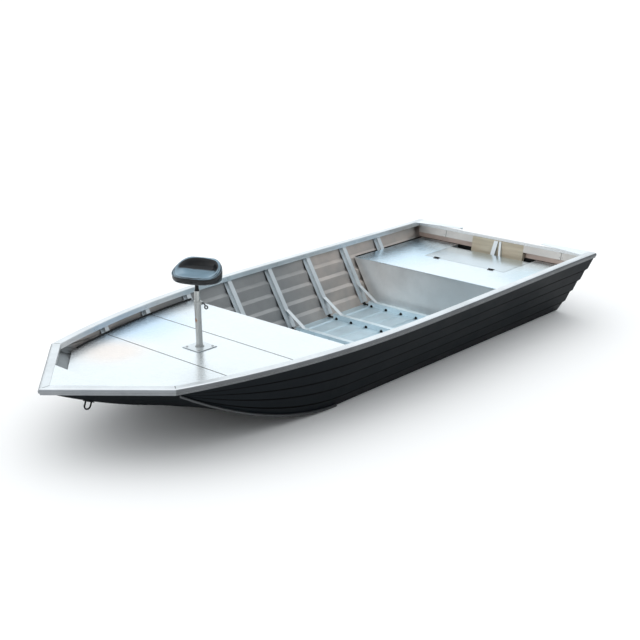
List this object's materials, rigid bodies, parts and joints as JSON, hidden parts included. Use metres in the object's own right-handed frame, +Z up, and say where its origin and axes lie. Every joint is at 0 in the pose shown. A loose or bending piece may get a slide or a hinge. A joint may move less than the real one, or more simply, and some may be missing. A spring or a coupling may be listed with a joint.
{
  "type": "jon boat",
  "caption": "Welded aluminium jon boat with stepped sides, a raised front deck, a swivel seat on a height-adjustable pedestal and a hinged stern hatch.",
  "frame": {"origin": "on the floor under the middle of the boat's box, on the centreline", "axes": "+X forward to the bow, +Y to port, +Z up"},
  "size_m": [5.398, 2.1658, 1.1613],
  "materials": {
    "hull_paint": "satin charcoal paint outside, bare sheet inside",
    "bare_aluminium": "mill finish, lightly brushed",
    "black_steel": "black coated steel",
    "tan_board": "sealed board",
    "black_plastic": "moulded",
    "black_vinyl": "glossy marine vinyl"
  },
  "bodies": {
    "hull": {"bottom_plate": "hull_paint", "bow_plate": "hull_paint", "side_port": "hull_paint", "side_starboard": "hull_paint", "transom_plate": "hull_paint", "gunwale_port": "bare_aluminium", "gunwale_starboard": "bare_aluminium", "bow_rail_port": "bare_aluminium", "bow_rail_starboard": "bare_aluminium", "bow_cap": "bare_aluminium", "chine_guard_port": "bare_aluminium", "chine_guard_starboard": "bare_aluminium", "bow_eye": "black_steel", "side_ribs_port": "bare_aluminium", "side_ribs_starboard": "bare_aluminium", "floor_ribs": "bare_aluminium", "rib_knees": "bare_aluminium", "front_bulkhead": "bare_aluminium", "front_deck_beams": "bare_aluminium", "front_deck_aft": "bare_aluminium", "front_deck_mid": "bare_aluminium", "front_deck_fore": "bare_aluminium", "rear_bulkhead": "bare_aluminium", "rear_deck": "bare_aluminium", "hatch_coaming": "bare_aluminium", "hinge_leaves_deck": "black_steel", "motor_board": "tan_board", "transom_skins": "bare_aluminium", "transom_cap": "bare_aluminium", "corner_plates": "bare_aluminium", "transom_knees": "bare_aluminium", "drain_tube": "bare_aluminium", "pedestal_base": "bare_aluminium", "pedestal_post": "bare_aluminium", "clamp_lever": "bare_aluminium"},
    "hatch": {"hatch_lid": "bare_aluminium", "hinge_leaves_lid": "black_steel"},
    "seat_post": {"pedestal_tube": "bare_aluminium"},
    "seat": {"seat_neck": "black_plastic", "seat_pad": "black_vinyl"}
  },
  "joints": [
    {"name": "hatch_hinge", "type": "hinge", "parent": "hull", "child": "hatch", "pos_m": [-2.06205, 0, 0.4355], "axis": [0, 1, 0], "range_deg": [0, 100]},
    {"name": "seat_height", "type": "slide", "parent": "hull", "child": "seat_post", "axis": [0, 0, 1], "range_m": [-0.06, 0.14]},
    {"name": "seat_swivel", "type": "hinge", "parent": "seat_post", "child": "seat", "pos_m": [1.25595, 0, 0.941], "axis": [0, 0, 1], "continuous": true}
  ]
}
